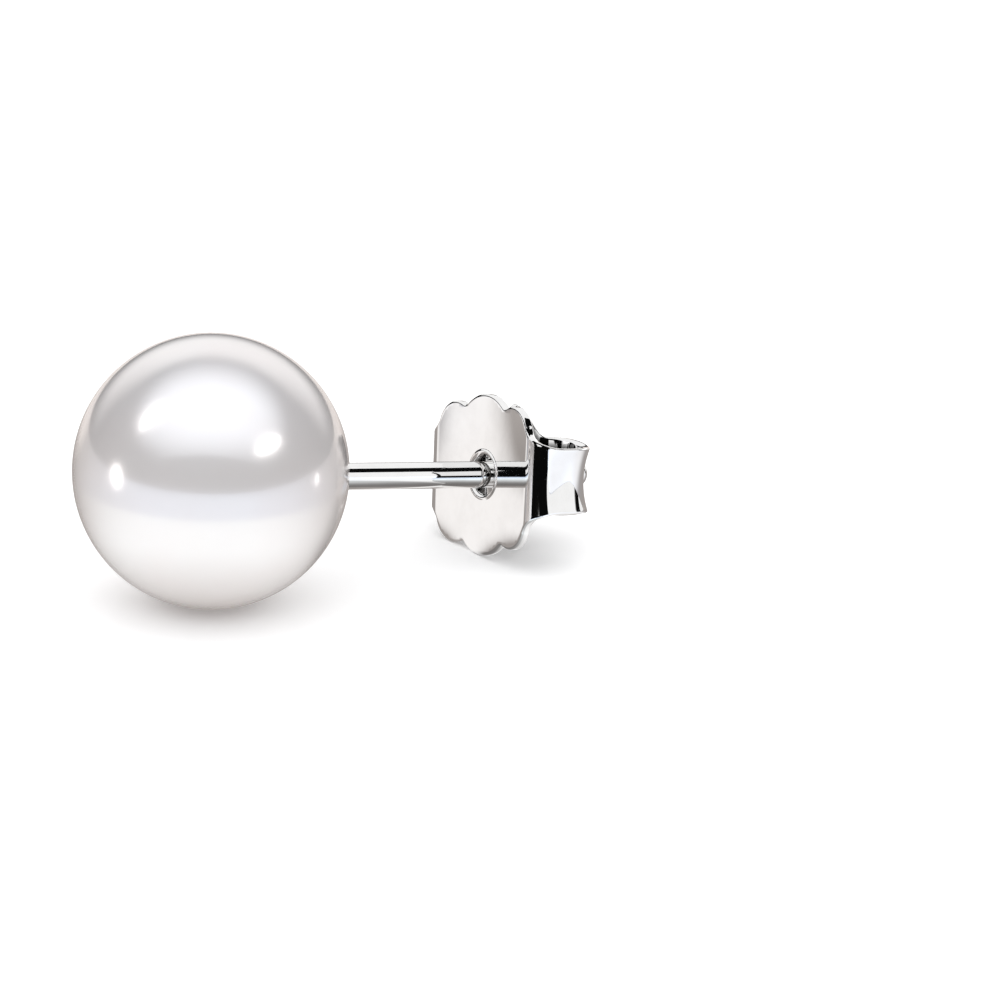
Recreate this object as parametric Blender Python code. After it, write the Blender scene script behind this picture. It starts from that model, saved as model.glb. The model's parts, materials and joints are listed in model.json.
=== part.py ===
"""A pearl stud earring with its butterfly back, resting on a level surface.

The earring is built along its post: local +X runs from the pearl to the post's tip, local +Z is the
butterfly's upright axis, and the local origin is on the post's axis, level with the pearl's centre. An empty
then lays it down as it rests: on the pearl's side and on two neighbouring lobes of the butterfly plate.
"""

import math
from dataclasses import dataclass

import bmesh
import bpy
from mathutils import Matrix, Vector

MM = 0.001

# Pearl: a round bead, drilled from the back for the peg
PEARL_DIAMETER = 8.0 * MM
DRILL_DIAMETER = 0.80 * MM
DRILL_DEPTH = 5.0 * MM
PEARL_RISE = 0.20 * MM  # the pearl's centre over the drilled hole's axis
PEARL_SIDES = 48

# Post: the peg in the pearl, the cup and the wire are one soldered piece
POST_DIAMETER = 0.80 * MM
POST_LENGTH = 9.3 * MM  # from the pearl's skin to the tip
PEG_DIAMETER = 0.70 * MM
PEG_END_GAP = 0.25 * MM  # from the peg's end to the bottom of the drilled hole
CUP_DIAMETER = 1.40 * MM
CUP_STANDOFF = 0.38 * MM  # from the pearl's skin to the back of the cup
CUP_EDGE_RADIUS = 0.09 * MM
PEARL_CLEARANCE = 0.04 * MM
TIP_RADIUS = 0.25 * MM
GROOVE_SETBACK = 1.30 * MM  # from the tip to the middle of the friction groove
GROOVE_WIDTH = 0.50 * MM
GROOVE_DEPTH = 0.07 * MM
POST_SIDES = 28

# Butterfly back: a stamped sheet, scalloped round the plate, with an ear strip to either side
SHEET = 0.27 * MM
PLATE_STANDOFF = 5.55 * MM  # from the pearl's skin to the front of the plate
HOLE_DIAMETER = 1.20 * MM
MIDDLE_LOBE_RADIUS = 1.456 * MM
MIDDLE_LOBE_CENTRE = 0.964 * MM  # its height over the post's axis
SIDE_LOBE_RADIUS = 0.870 * MM
SIDE_LOBE_CENTRE = 1.26 * MM  # its height over the post's axis
SIDE_LOBE_OFFSET = 1.45 * MM  # its distance to the side
ROOT_HALF_WIDTH = 1.38 * MM  # where a side lobe ends and the ear strip starts
EAR_HALF_WIDTH = 0.97 * MM
EAR_END_HALF_WIDTH = 2.15 * MM
TROUGH_DEPTH = 0.17 * MM  # how far the ear strip is hollowed along its outer face
PLATE_FLAT = 1.20 * MM  # half width of the plate's flat middle
SHOULDER_LENGTH = 1.20 * MM  # the plate's gently turned side
SHOULDER_TURN = 10.0  # degrees
BEND_RADIUS = 0.40 * MM  # at the middle of the sheet, as the radii below
BACK_DEPTH = 2.50 * MM  # the butterfly's whole depth
POST_GRIP_CLEARANCE = 0.03 * MM
EAR_END_GAP = 0.30 * MM  # from the plate's back to the curled end of an ear

LOBE_STEPS = 7
ROLL_STEPS = 14
BEND_STEPS = 5

SEAT_FINDS = 0.001 * MM  # how near a vertex lies to the cup's seat to belong to it

PEARL_RADIUS = PEARL_DIAMETER / 2
POST_RADIUS = POST_DIAMETER / 2


@dataclass(frozen=True)
class Stretch:
    """One stretch of the butterfly's sheet, from the middle of the plate outwards."""

    name: str
    length: float
    turn: float  # radians, backwards and then inwards
    steps: int


def clear_scene():
    for obj in list(bpy.data.objects):
        bpy.data.objects.remove(obj, do_unlink=True)


def arc(centre, radius, start, end, steps):
    """Points on a circle, from one angle to the other, both ends included."""
    turn = math.radians(end - start) / steps
    first = math.radians(start)
    return [
        (centre[0] + radius * math.cos(first + i * turn), centre[1] + radius * math.sin(first + i * turn))
        for i in range(steps + 1)
    ]


def turned(name, profile, sides):
    """A solid turned about the X axis from (x, radius) points that start and end on the axis."""
    mesh = bpy.data.meshes.new(name)
    bm = bmesh.new()
    ring = [bm.verts.new((x, 0, radius)) for x, radius in profile]
    edges = [bm.edges.new(pair) for pair in zip(ring, ring[1:])]
    bmesh.ops.spin(
        bm, geom=ring + edges, axis=(1, 0, 0), cent=(0, 0, 0), angle=math.tau, steps=sides, use_merge=True
    )
    bmesh.ops.remove_doubles(bm, verts=bm.verts, dist=1e-7)
    bmesh.ops.recalc_face_normals(bm, faces=bm.faces)
    bm.to_mesh(mesh)
    bm.free()
    mesh.shade_smooth()
    mesh.set_sharp_from_angle(angle=math.radians(35))
    obj = bpy.data.objects.new(name, mesh)
    bpy.context.scene.collection.objects.link(obj)
    return obj


def make_rod(name, start, end, radius):
    """A plain cutter along the post's axis."""
    rod = turned(name, [(start, 0.0), (start, radius), (end, radius), (end, 0.0)], POST_SIDES)
    rod.hide_render = True
    rod.display_type = "WIRE"
    return rod


def cut_away(obj, cutter):
    cut = obj.modifiers.new(cutter.name, "BOOLEAN")
    cut.operation = "DIFFERENCE"
    cut.object = cutter


def make_pearl():
    skin = arc((0, 0), PEARL_RADIUS, 180, 0, PEARL_SIDES // 2)
    skin[0], skin[-1] = (-PEARL_RADIUS, 0.0), (PEARL_RADIUS, 0.0)
    pearl = turned("pearl", skin, PEARL_SIDES)
    pearl.data.transform(Matrix.Translation((0, 0, PEARL_RISE)))
    drilled_to = PEARL_RADIUS - DRILL_DEPTH
    cut_away(pearl, make_rod("drill", drilled_to, PEARL_RADIUS + DRILL_DIAMETER, DRILL_DIAMETER / 2))
    return pearl


def make_ear_post():
    """The profile runs from the peg's blunt end, out over the cup and along the wire to the tip."""
    peg = PEG_DIAMETER / 2
    peg_end = PEARL_RADIUS - DRILL_DEPTH + PEG_END_GAP
    seat = PEARL_RADIUS + PEARL_CLEARANCE
    cup = CUP_DIAMETER / 2
    cup_back = PEARL_RADIUS + CUP_STANDOFF
    tip = PEARL_RADIUS + POST_LENGTH
    groove = tip - GROOVE_SETBACK
    inner = math.degrees(math.asin(peg / seat))
    outer = math.degrees(math.asin(cup / seat))
    profile = [(peg_end, 0.0), (peg_end, peg)]
    profile += arc((0, 0), seat, inner, outer, 4)
    profile += arc((cup_back - CUP_EDGE_RADIUS, cup - CUP_EDGE_RADIUS), CUP_EDGE_RADIUS, 90, 0, 4)
    profile += [(cup_back, POST_RADIUS)]
    profile += [
        (groove - GROOVE_WIDTH / 2 + i * GROOVE_WIDTH / 6, POST_RADIUS - GROOVE_DEPTH * math.sin(i * math.pi / 6))
        for i in range(7)
    ]
    profile += arc((tip - TIP_RADIUS, POST_RADIUS - TIP_RADIUS), TIP_RADIUS, 90, 0, 5)
    profile += [(tip, 0.0)]
    post = turned("ear_post", profile, POST_SIDES)
    for vert in post.data.vertices:
        aside = math.hypot(vert.co.y, vert.co.z)
        if abs(math.hypot(vert.co.x, aside) - seat) < SEAT_FINDS:
            vert.co.x = math.sqrt(seat**2 - vert.co.y**2 - (vert.co.z - PEARL_RISE) ** 2)
    return post


def stretches():
    """The sheet's middle line from the plate's middle to the end of an ear."""
    shoulder_turn = math.radians(SHOULDER_TURN)
    shoulder_radius = SHOULDER_LENGTH / shoulder_turn
    bend_turn = math.pi / 2 - shoulder_turn
    reach = PLATE_FLAT + shoulder_radius * math.sin(shoulder_turn) + BEND_RADIUS * (1 - math.sin(shoulder_turn))
    grip = POST_RADIUS + POST_GRIP_CLEARANCE + SHEET / 2
    roll_radius = (reach - grip) / 2
    bend_end = SHEET / 2 + shoulder_radius * (1 - math.cos(shoulder_turn)) + BEND_RADIUS * math.cos(shoulder_turn)
    roll_start = BACK_DEPTH - SHEET / 2 - roll_radius
    ear_end = SHEET + EAR_END_GAP
    return [
        Stretch("flat", PLATE_FLAT, 0.0, 1),
        Stretch("shoulder", SHOULDER_LENGTH, shoulder_turn, 3),
        Stretch("bend", BEND_RADIUS * bend_turn, bend_turn, BEND_STEPS),
        Stretch("leg", roll_start - bend_end, 0.0, 1),
        Stretch("roll", roll_radius * math.pi, math.pi, ROLL_STEPS),
        Stretch("end", roll_start - ear_end, 0.0, 2),
    ]


def station(name, share=0.0):
    """The distance along the sheet of a point in the named stretch."""
    along = 0.0
    for stretch in stretches():
        if stretch.name == name:
            return along + share * stretch.length
        along += stretch.length
    raise KeyError(name)


def on_sheet(along):
    """The middle line's (out, back, heading) at a distance along it from the plate's middle."""
    out, back, heading, left = 0.0, SHEET / 2, 0.0, along
    for stretch in stretches():
        part = min(left, stretch.length)
        if part > 0:
            turn = stretch.turn * part / stretch.length
            middle = heading + turn / 2
            chord = part if abs(turn) < 1e-9 else part * math.sin(turn / 2) / (turn / 2)
            out += chord * math.cos(middle)
            back += chord * math.sin(middle)
            heading += turn
        left -= stretch.length
    return out, back, heading


def lobe_notch():
    """Where the middle lobe's circle meets a side lobe's: (out, up) and the angle on each circle."""
    across = Vector((SIDE_LOBE_OFFSET, SIDE_LOBE_CENTRE - MIDDLE_LOBE_CENTRE))
    apart = across.length
    along = (MIDDLE_LOBE_RADIUS**2 - SIDE_LOBE_RADIUS**2 + apart**2) / (2 * apart)
    aside = math.sqrt(MIDDLE_LOBE_RADIUS**2 - along**2)
    ahead = across / apart
    notch = Vector((0, MIDDLE_LOBE_CENTRE)) + along * ahead + aside * Vector((-ahead.y, ahead.x))
    on_middle = math.degrees(math.atan2(notch.y - MIDDLE_LOBE_CENTRE, notch.x))
    on_side = math.degrees(math.atan2(notch.y - SIDE_LOBE_CENTRE, notch.x - SIDE_LOBE_OFFSET))
    return on_middle, on_side


def ease(value):
    """A smooth step from 0 to 1."""
    value = min(1.0, max(0.0, value))
    return value * value * (3 - 2 * value)


def strip_half_width(along):
    """Half the ear strip's width: it narrows from its root, then flares at its curled end."""
    root = SIDE_LOBE_OFFSET + SIDE_LOBE_RADIUS
    waist = 1 - max(0.0, 1 - max(0.0, along - root) / (station("leg", 1.0) - root)) ** 2
    flare = ease((along - station("roll", 0.6)) / (station("end", 0.6) - station("roll", 0.6)))
    width = ROOT_HALF_WIDTH + (EAR_HALF_WIDTH - ROOT_HALF_WIDTH) * waist
    return width + (EAR_END_HALF_WIDTH - EAR_HALF_WIDTH) * flare


def sheet_stations():
    """Distances along the sheet where it is cut into facets, on one side."""
    found = []
    for stretch in stretches():
        found += [station(stretch.name, i / stretch.steps) for i in range(stretch.steps)]
    return found[1:]


def quarter_outline():
    """The flat blank's edge in one quarter, from the top of the middle lobe to the end of the ear."""
    on_middle, on_side = lobe_notch()
    root = math.degrees(math.asin((ROOT_HALF_WIDTH - SIDE_LOBE_CENTRE) / SIDE_LOBE_RADIUS))
    edge = arc((0, MIDDLE_LOBE_CENTRE), MIDDLE_LOBE_RADIUS, 90, on_middle, LOBE_STEPS)
    edge += arc((SIDE_LOBE_OFFSET, SIDE_LOBE_CENTRE), SIDE_LOBE_RADIUS, on_side, root, LOBE_STEPS + 2)[1:]
    end = station("end", 1.0)
    corner = 0.3 * stretches()[-1].length
    edge += [(s, strip_half_width(s)) for s in sheet_stations() if edge[-1][0] + 0.1 * MM < s < end - corner]
    width = strip_half_width(end)
    edge += arc((end - corner, width - corner), corner, 90, 0, 3)
    return edge


def blank_outline():
    """The whole flat blank's edge, anticlockwise, as (along, up) points."""
    quarter = quarter_outline()
    right = quarter[::-1]
    left = [(-s, v) for s, v in quarter[1:]]
    top = [(s, -v) for s, v in (right + left)]
    return right + left + top[::-1]


def pressed(along, up):
    """How far the ear strip's middle is pressed in from its outer face."""
    share = ease((along - station("shoulder", 0.7)) / (station("leg") - station("shoulder", 0.7)))
    half = strip_half_width(max(along, station("bend")))
    return TROUGH_DEPTH * share * (1 - min(1.0, abs(up) / half) ** 2)


def bent(point):
    """Where a point of the flat blank lies in the finished butterfly."""
    side = -1.0 if point.x < 0 else 1.0
    out, back, heading = on_sheet(abs(point.x))
    depth = point.z - SHEET / 2 + pressed(abs(point.x), point.y)
    out -= depth * math.sin(heading)
    back += depth * math.cos(heading)
    return Vector((PEARL_RADIUS + PLATE_STANDOFF + back, side * out, point.y))


def make_butterfly_back():
    """The blank is cut to its outline, thickened, cut across where it bends, and bent."""
    mesh = bpy.data.meshes.new("butterfly_back")
    bm = bmesh.new()
    face = bm.faces.new([bm.verts.new((s, v, 0)) for s, v in blank_outline()])
    made = bmesh.ops.extrude_face_region(bm, geom=[face])
    raised = [v for v in made["geom"] if isinstance(v, bmesh.types.BMVert)]
    bmesh.ops.translate(bm, verts=raised, vec=(0, 0, SHEET))
    cuts = [(Vector((side * s, 0, 0)), Vector((1, 0, 0))) for s in sheet_stations() for side in (-1, 1)]
    cuts += [(Vector((0, share * EAR_HALF_WIDTH, 0)), Vector((0, 1, 0))) for share in (-0.7, -0.35, 0, 0.35, 0.7)]
    for place, normal in cuts:
        geometry = bm.verts[:] + bm.edges[:] + bm.faces[:]
        bmesh.ops.bisect_plane(bm, geom=geometry, dist=1e-7, plane_co=place, plane_no=normal)
    for vert in bm.verts:
        vert.co = bent(vert.co)
    bmesh.ops.remove_doubles(bm, verts=bm.verts, dist=1e-7)
    bmesh.ops.triangulate(bm, faces=bm.faces)
    bmesh.ops.recalc_face_normals(bm, faces=bm.faces)
    bm.to_mesh(mesh)
    bm.free()
    mesh.shade_smooth()
    mesh.set_sharp_from_angle(angle=math.radians(35))
    obj = bpy.data.objects.new("butterfly_back", mesh)
    bpy.context.scene.collection.objects.link(obj)
    front = PEARL_RADIUS + PLATE_STANDOFF
    cut_away(obj, make_rod("post_hole", front - SHEET, front + 2 * SHEET, HOLE_DIAMETER / 2))
    return obj


def make_material(name, colour, roughness, metallic):
    material = bpy.data.materials.new(name)
    material.use_nodes = True
    shader = material.node_tree.nodes["Principled BSDF"]
    shader.inputs["Base Color"].default_value = (*colour, 1.0)
    shader.inputs["Roughness"].default_value = roughness
    shader.inputs["Metallic"].default_value = metallic
    return material


def rest_turn():
    """The earring's turn as it rests: rolled until two lobes are level, then pitched until they touch down."""
    across = Vector((SIDE_LOBE_OFFSET, SIDE_LOBE_CENTRE - MIDDLE_LOBE_CENTRE))
    lean = math.acos((MIDDLE_LOBE_RADIUS - SIDE_LOBE_RADIUS) / across.length)
    roll = math.pi / 2 - lean - math.atan2(across.y, across.x)
    reach = MIDDLE_LOBE_RADIUS + (MIDDLE_LOBE_CENTRE + PEARL_RISE) * math.cos(roll)
    plate_back = PEARL_RADIUS + PLATE_STANDOFF + SHEET
    pitch = math.asin(PEARL_RADIUS / math.hypot(plate_back, reach)) - math.atan2(reach, plate_back)
    return Matrix.Rotation(pitch, 4, "Y") @ Matrix.Rotation(-roll, 4, "X")


def lay_down(pieces):
    """Parents the pieces to an empty in the rest pose, with the box's bottom centre at the world's origin."""
    holder = bpy.data.objects.new("earring_at_rest", None)
    bpy.context.scene.collection.objects.link(holder)
    turn = rest_turn()
    corners = [turn @ vert.co for piece in pieces for vert in piece.data.vertices]
    low = Vector(min(corner[i] for corner in corners) for i in range(3))
    high = Vector(max(corner[i] for corner in corners) for i in range(3))
    shift = Vector((-(low.x + high.x) / 2, -(low.y + high.y) / 2, -low.z))
    holder.matrix_world = Matrix.Translation(shift) @ turn
    cutters = [modifier.object for piece in pieces for modifier in piece.modifiers]
    for obj in pieces + cutters:
        obj.parent = holder


def main():
    clear_scene()
    nacre = make_material("pearl_nacre", (0.90, 0.87, 0.84), 0.12, 0.0)
    metal = make_material("polished_white_metal", (0.86, 0.86, 0.87), 0.06, 1.0)
    pieces = [make_pearl(), make_ear_post(), make_butterfly_back()]
    for piece, material in zip(pieces, (nacre, metal, metal)):
        piece.data.materials.append(material)
    lay_down(pieces)


main()
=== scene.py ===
"""The looks of a pearl stud earring that lies on a pale studio floor with its butterfly back on the post.

Every piece is modelled in the earring's own frame, in millimetres: +X runs along the post from the pearl to
the tip, +Z is the butterfly's upright axis, and the origin is on the post's axis, level with the pearl's
centre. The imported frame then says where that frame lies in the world.
"""

import json
import logging
import math
from dataclasses import dataclass
from enum import Enum
from functools import cached_property

import bmesh
import bpy
from mathutils import Matrix, Vector


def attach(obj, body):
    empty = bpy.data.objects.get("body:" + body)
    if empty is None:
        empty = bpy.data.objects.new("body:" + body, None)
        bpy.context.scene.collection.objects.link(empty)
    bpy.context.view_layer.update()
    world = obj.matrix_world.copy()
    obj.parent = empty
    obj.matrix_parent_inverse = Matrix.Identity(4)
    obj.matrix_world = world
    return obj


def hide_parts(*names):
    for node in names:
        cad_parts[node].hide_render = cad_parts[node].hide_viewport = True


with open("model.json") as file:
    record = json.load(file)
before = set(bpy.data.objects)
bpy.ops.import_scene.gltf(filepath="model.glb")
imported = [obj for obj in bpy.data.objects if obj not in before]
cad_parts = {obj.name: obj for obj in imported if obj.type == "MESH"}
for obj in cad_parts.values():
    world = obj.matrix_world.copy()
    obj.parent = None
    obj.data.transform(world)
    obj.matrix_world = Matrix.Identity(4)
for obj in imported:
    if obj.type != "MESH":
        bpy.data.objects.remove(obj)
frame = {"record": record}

LOG = logging.getLogger("pearl_earring")

MM = 0.001
WELD = 1e-5  # millimetres: vertices closer than this are one
TINY = 1e-4  # millimetres: how near a seam plane a vertex counts as on it
MOUNT_RISE = 0.5  # millimetres: how far the front mount lies over the post's axis
X_AXIS, Y_AXIS, Z_AXIS = Vector((1.0, 0.0, 0.0)), Vector((0.0, 1.0, 0.0)), Vector((0.0, 0.0, 1.0))


class Body(Enum):
    """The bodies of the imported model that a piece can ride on."""

    STUD = "stud"
    NUT = "nut"


class Slot(Enum):
    """The record's material slots."""

    NACRE = "nacre"
    WHITE_METAL = "white_metal"


@dataclass(frozen=True)
class RestFrame:
    """Where the earring's own frame lies in the world, in metres."""

    origin: Vector
    post_axis: Vector
    upright: Vector

    @classmethod
    def from_record(cls, record: dict, mount_offset: Vector) -> "RestFrame":
        """Reads the frame from the record's two mounts and its slide joint.

        Args:
            record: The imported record.
            mount_offset: The front mount's place in the earring's frame, in millimetres.

        Returns:
            The frame at rest.
        """
        mounts = {mount["name"]: Vector(mount["pos_m"]) for mount in record["mounts"]}
        post_axis = Vector(record["behaviour"]["joints"][0]["axis"]).normalized()
        across = mounts["back_of_ear"] - mounts["front_of_ear"]
        upright = (across - across.dot(post_axis) * post_axis).normalized()
        origin = mounts["front_of_ear"] - MM * (mount_offset.x * post_axis + mount_offset.z * upright)
        return cls(origin, post_axis, upright)

    def axes(self) -> Matrix:
        """Returns the frame's three axes in the world, as columns."""
        side = self.upright.cross(self.post_axis)
        return Matrix((self.post_axis, side, self.upright)).transposed()

    def to_world(self) -> Matrix:
        """Returns the matrix from millimetres in the earring's frame to metres in the world."""
        return Matrix.Translation(self.origin) @ self.axes().to_4x4() @ Matrix.Scale(MM, 4)


def arc(centre: tuple[float, float], radius: float, start: float, end: float, steps: int) -> list[Vector]:
    """Points on a circle from one angle to another, both ends included.

    Args:
        centre: The circle's centre.
        radius: Its radius.
        start: The first angle, in degrees.
        end: The last angle, in degrees.
        steps: How many equal steps lie between them.

    Returns:
        The points, as two-dimensional vectors.
    """
    angles = [math.radians(start + (end - start) * i / steps) for i in range(steps + 1)]
    return [Vector((centre[0] + radius * math.cos(a), centre[1] + radius * math.sin(a))) for a in angles]


def ease(value: float) -> float:
    """Returns a smooth step from 0 to 1 of a value between 0 and 1."""
    value = min(1.0, max(0.0, value))
    return value * value * (3 - 2 * value)


class NodeSketch:
    """Adds nodes to a node tree and wires them, in few words."""

    def __init__(self, tree: bpy.types.NodeTree) -> None:
        """Keeps the tree.

        Args:
            tree: The node tree to draw in.
        """
        self.tree = tree

    def add(self, kind: str, settings: dict | None = None, **inputs: object) -> bpy.types.Node:
        """Adds a node.

        Args:
            kind: The node's type, without its ShaderNode prefix.
            settings: Properties of the node.
            inputs: Values or sockets for its inputs, by socket name with underscores for spaces.

        Returns:
            The node.
        """
        node = self.tree.nodes.new("ShaderNode" + kind)
        for name, value in (settings or {}).items():
            setattr(node, name, value)
        self.fill(node, **inputs)
        return node

    def fill(self, node: bpy.types.Node, **inputs: object) -> None:
        """Feeds a node's inputs.

        Args:
            node: The node.
            inputs: Values or sockets, by socket name with underscores for spaces.
        """
        for name, value in inputs.items():
            self.feed(node.inputs[name.replace("_", " ")], value)

    def feed(self, socket: bpy.types.NodeSocket, value: object) -> None:
        """Links a socket to an input, or sets its value.

        Args:
            socket: The input.
            value: Another node's output, or a plain value.
        """
        if isinstance(value, bpy.types.NodeSocket):
            self.tree.links.new(value, socket)
        else:
            socket.default_value = value

    def reckon(self, kind: str, operation: str, *values: object) -> bpy.types.bpy_prop_collection:
        """Returns the outputs of a Math or VectorMath node on the values."""
        node = self.add(kind, {"operation": operation})
        for socket, value in zip(node.inputs, values):
            self.feed(socket, value)
        return node.outputs

    def math(self, operation: str, *values: object) -> bpy.types.NodeSocket:
        """Returns the result of a Math node on the values."""
        return self.reckon("Math", operation, *values)[0]

    def step(self, value: object, start: float, end: float) -> bpy.types.NodeSocket:
        """Returns a smooth step that is 0 at start and 1 at end; start may be the larger."""
        low, high = min(start, end), max(start, end)
        at_low, at_high = (0.0, 1.0) if start < end else (1.0, 0.0)
        node = self.add("MapRange", {"interpolation_type": "SMOOTHSTEP"}, Value=value)
        self.fill(node, From_Min=low, From_Max=high, To_Min=at_low, To_Max=at_high)
        return node.outputs[0]

    def times(self, *values: object) -> bpy.types.NodeSocket:
        """Returns the product of two or more values."""
        product = values[0]
        for value in values[1:]:
            product = self.math("MULTIPLY", product, value)
        return product

    def total(self, *values: object) -> bpy.types.NodeSocket:
        """Returns the sum of two or more values."""
        added = values[0]
        for value in values[1:]:
            added = self.math("ADD", added, value)
        return added

    def blend(self, share: object, first: object, second: object) -> bpy.types.NodeSocket:
        """Returns a mix of two colours, all first at share 0 and all second at share 1."""
        node = self.add("Mix", {"data_type": "RGBA"})
        for socket, value in ((node.inputs[0], share), (node.inputs[6], first), (node.inputs[7], second)):
            self.feed(socket, value)
        return node.outputs[2]

    def along(self, direction: object, axis: Vector) -> bpy.types.NodeSocket:
        """Returns the part of a vector that lies along an axis."""
        return self.reckon("VectorMath", "DOT_PRODUCT", direction, axis)["Value"]

    def scaled(self, vector: object, factor: object) -> bpy.types.NodeSocket:
        """Returns a vector or a colour times a number."""
        return self.add("VectorMath", {"operation": "SCALE"}, Vector=vector, Scale=factor).outputs[0]

    def around(
        self, place: object, foot: Vector, way: float
    ) -> tuple[bpy.types.NodeSocket, bpy.types.NodeSocket]:
        """Measures a place on the floor, in millimetres, from a foot.

        Args:
            place: The place.
            foot: The foot.
            way: A direction from it, in degrees from +X.

        Returns:
            The distance from the foot, and the cosine of the turn from that direction.
        """
        offset = self.reckon("VectorMath", "SUBTRACT", place, foot.to_3d())[0]
        unit = self.reckon("VectorMath", "NORMALIZE", offset)[0]
        ahead = Vector((math.cos(math.radians(way)), math.sin(math.radians(way)), 0.0))
        return self.reckon("VectorMath", "LENGTH", offset)["Value"], self.along(unit, ahead)

    @classmethod
    def of_light(cls, light: bpy.types.Object) -> "NodeSketch":
        """Returns a sketch of a light's own nodes."""
        light.data.use_nodes = True
        return cls(light.data.node_tree)

    def on_light(self) -> bpy.types.bpy_prop_collection:
        """Returns outputs X and Y that say where on a light a point lies, from 0 to 1."""
        return self.add("SeparateXYZ", Vector=self.add("NewGeometry").outputs["Parametric"]).outputs

    def emit(self, strength: object) -> None:
        """Sets how brightly a light shines at each place on it."""
        self.feed(self.tree.nodes["Emission"].inputs["Strength"], strength)


def turned(profile: list[Vector], sides: int) -> bmesh.types.BMesh:
    """Turns a profile about the X axis into a closed solid.

    Args:
        profile: Points of (x, radius) that start and end on the axis.
        sides: How many steps the full turn has.

    Returns:
        A new bmesh with the solid.
    """
    bm = bmesh.new()
    ring = [bm.verts.new((point.x, 0.0, point.y)) for point in profile]
    edges = [bm.edges.new(pair) for pair in zip(ring, ring[1:])]
    bmesh.ops.spin(
        bm, geom=ring + edges, axis=(1, 0, 0), cent=(0, 0, 0), angle=math.tau, steps=sides, use_merge=True
    )
    bmesh.ops.remove_doubles(bm, verts=bm.verts, dist=WELD)
    bmesh.ops.recalc_face_normals(bm, faces=bm.faces)
    return bm


def make_object(name: str, bm: bmesh.types.BMesh, to_world: Matrix) -> bpy.types.Object:
    """Writes a bmesh in the earring's frame to a smooth object whose place is in its mesh.

    Args:
        name: The object's name.
        bm: The piece, in millimetres. It is freed.
        to_world: The matrix to metres in the world.

    Returns:
        The object, linked to the scene.
    """
    bmesh.ops.transform(bm, matrix=to_world, verts=bm.verts)
    mesh = bpy.data.meshes.new(name)
    bm.to_mesh(mesh)
    bm.free()
    mesh.shade_smooth()
    obj = bpy.data.objects.new(name, mesh)
    bpy.context.scene.collection.objects.link(obj)
    return obj


def new_material(name: str) -> tuple[bpy.types.Material, bpy.types.Node, NodeSketch]:
    """Makes a material.

    Args:
        name: Its name.

    Returns:
        The material, its shader and a sketch of its nodes.
    """
    material = bpy.data.materials.new(name)
    material.use_nodes = True
    tree = material.node_tree
    return material, tree.nodes["Principled BSDF"], NodeSketch(tree)


def settle(obj: bpy.types.Object, node: str, body: Body, material: bpy.types.Material) -> None:
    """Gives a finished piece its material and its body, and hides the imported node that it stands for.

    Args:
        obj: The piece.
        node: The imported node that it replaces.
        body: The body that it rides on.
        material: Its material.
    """
    obj.data.materials.append(material)
    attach(obj, body.value)
    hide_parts(node)
    LOG.info("%s: %d faces, rides on %s", obj.name, len(obj.data.polygons), body.value)


@dataclass(frozen=True)
class PearlBead:
    """A round bead, drilled from the back for the peg. Sizes in millimetres."""

    diameter: float = 8.0
    drill_diameter: float = 0.80
    drill_depth: float = 5.0
    drill_lip: float = 0.06  # the rounded mouth of the drilled hole
    rise: float = 0.20  # the pearl's centre over the drilled hole's axis
    hold_reach: float = 0.5  # share of the radius within which the rings keep to the hole
    rings: int = 112
    sides: int = 208

    @property
    def radius(self) -> float:
        """Returns the pearl's radius."""
        return self.diameter / 2

    def profile(self) -> list[Vector]:
        """Returns the turned outline: over the skin from the front pole, then down the drilled hole."""
        drill = self.drill_diameter / 2
        mouth = math.degrees(math.asin((drill + self.drill_lip) / self.radius))
        skin = arc((0, 0), self.radius, 180, mouth, self.rings)
        skin[0] = Vector((-self.radius, 0.0))
        lip = Vector((skin[-1].x - self.drill_lip, drill))
        bottom = self.radius - self.drill_depth
        return skin + [lip, Vector((bottom, drill)), Vector((bottom, 0.0))]

    def build(self, to_world: Matrix) -> bpy.types.Object:
        """Builds the bead.

        Args:
            to_world: The matrix from the earring's frame to the world.

        Returns:
            The pearl.
        """
        bm = turned(self.profile(), self.sides)
        drill = self.drill_diameter / 2 + self.drill_lip
        for vert in bm.verts:
            aside = math.hypot(vert.co.y, vert.co.z)
            if vert.co.x < 0 or vert.co.length < self.radius - TINY:
                vert.co.z += self.rise if vert.co.x < 0 else 0.0
                continue
            stays = 1 - ease((aside - drill) / (self.hold_reach * self.radius - drill))
            level = vert.co.z - self.rise * stays
            room = max(0.0, self.radius**2 - level**2 - vert.co.y**2)
            vert.co = Vector((math.sqrt(room), vert.co.y, level + self.rise))
        return make_object("pearl_bead", bm, to_world)


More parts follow.
